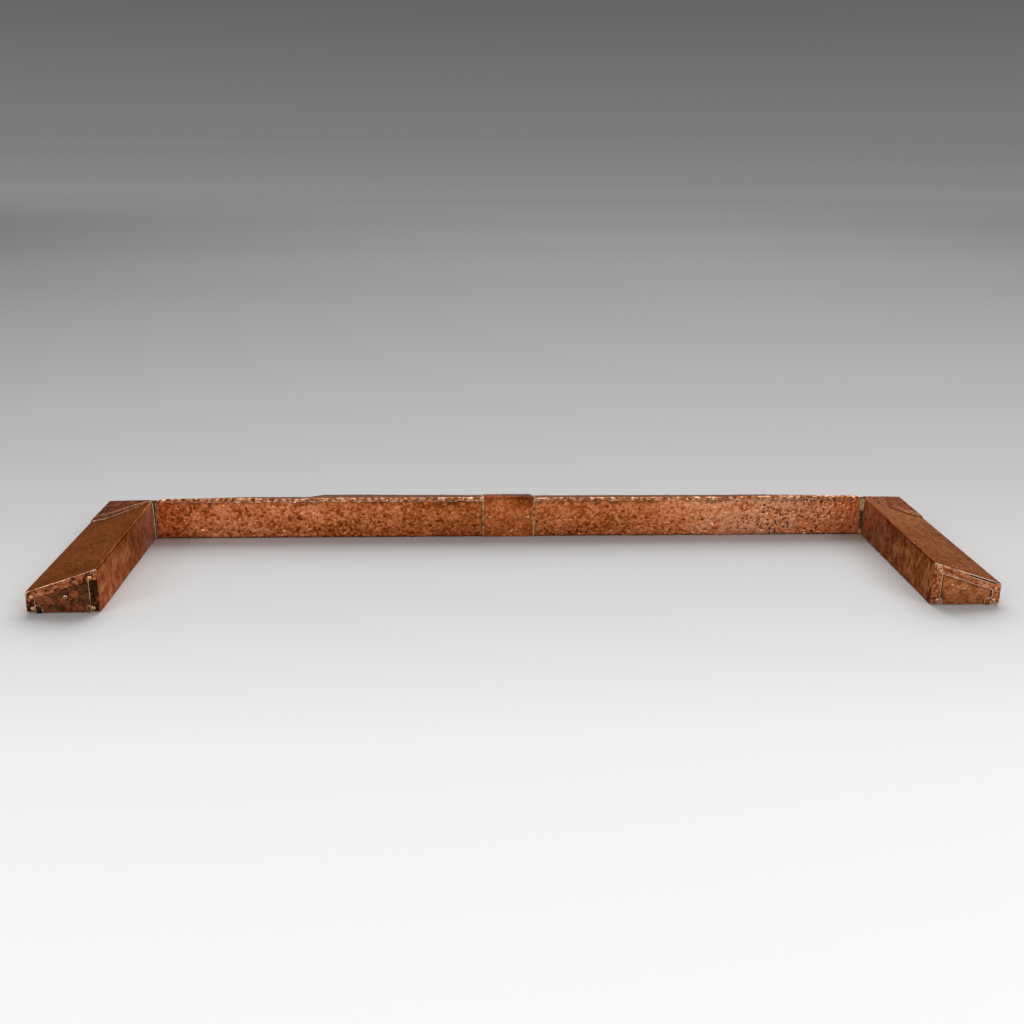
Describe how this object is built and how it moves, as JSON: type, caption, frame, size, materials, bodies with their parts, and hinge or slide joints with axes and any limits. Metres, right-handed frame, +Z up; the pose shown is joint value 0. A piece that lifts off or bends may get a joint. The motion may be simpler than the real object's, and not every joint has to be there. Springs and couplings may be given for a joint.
{
  "type": "hearth fender",
  "caption": "Low U-shaped hearth kerb with a sloping top: timber cores clad in folded hammered copper sheet, lapped at the corners, sleeved at mid rail, with flapped and pinned ends.",
  "frame": {"origin": "middle of the footprint, on the surface that the fender stands on", "axes": "+X along the rail, to the right when seen from the fire; +Y from the fire to the room, so the arms point to -Y; +Z up"},
  "size_m": [1.372, 0.4128, 0.0701],
  "materials": {
    "sheet_copper": "hammered copper sheet, worn bright on the folds, brown between",
    "end_plate_copper": "dark patinated copper",
    "pin_brass": "round-headed pins and flat tacks, rubbed bright",
    "solder": "dull soft solder with green tarnish",
    "timber": "plain sawn softwood, unseen",
    "screw_steel": "plain steel, unseen"
  },
  "bodies": {
    "root": {"centre_sleeve": "sheet_copper", "left_arm_core": "timber", "left_arm_sheet": "sheet_copper", "left_arm_tack_fire_1": "pin_brass", "left_arm_tack_fire_2": "pin_brass", "left_arm_tack_room_1": "pin_brass", "left_arm_tack_room_2": "pin_brass", "left_corner_solder": "solder", "left_end_pin_foot_fire": "pin_brass", "left_end_pin_foot_room": "pin_brass", "left_end_pin_plate": "pin_brass", "left_end_pin_top_fire": "pin_brass", "left_end_pin_top_room": "pin_brass", "left_end_plate": "end_plate_copper", "left_mitre_screw_arm": "screw_steel", "left_mitre_screw_rail": "screw_steel", "rail_core": "timber", "rail_fire_sheet_left": "sheet_copper", "rail_fire_sheet_right": "sheet_copper", "rail_tack_fire_left_1": "pin_brass", "rail_tack_fire_left_2": "pin_brass", "rail_tack_fire_left_3": "pin_brass", "rail_tack_fire_right_1": "pin_brass", "rail_tack_fire_right_2": "pin_brass", "rail_tack_fire_right_3": "pin_brass", "rail_tack_room_left_1": "pin_brass", "rail_tack_room_left_2": "pin_brass", "rail_tack_room_left_3": "pin_brass", "rail_tack_room_right_1": "pin_brass", "rail_tack_room_right_2": "pin_brass", "rail_tack_room_right_3": "pin_brass", "rail_top_sheet_lapped": "sheet_copper", "rail_top_sheet_left": "sheet_copper", "rail_top_sheet_right": "sheet_copper", "right_arm_core": "timber", "right_arm_sheet": "sheet_copper", "right_arm_tack_fire_1": "pin_brass", "right_arm_tack_fire_2": "pin_brass", "right_arm_tack_room_1": "pin_brass", "right_arm_tack_room_2": "pin_brass", "right_corner_solder": "solder", "right_end_pin_foot_fire": "pin_brass", "right_end_pin_foot_room": "pin_brass", "right_end_pin_plate": "pin_brass", "right_end_pin_top_fire": "pin_brass", "right_end_pin_top_room": "pin_brass", "right_end_plate": "end_plate_copper", "right_mitre_screw_arm": "screw_steel", "right_mitre_screw_rail": "screw_steel", "sleeve_pin_fire_left": "pin_brass", "sleeve_pin_fire_low": "pin_brass", "sleeve_pin_fire_right": "pin_brass", "sleeve_pin_room_left": "pin_brass", "sleeve_pin_room_right": "pin_brass", "sleeve_solder_left": "solder", "sleeve_solder_right": "solder"}
  },
  "joints": []
}
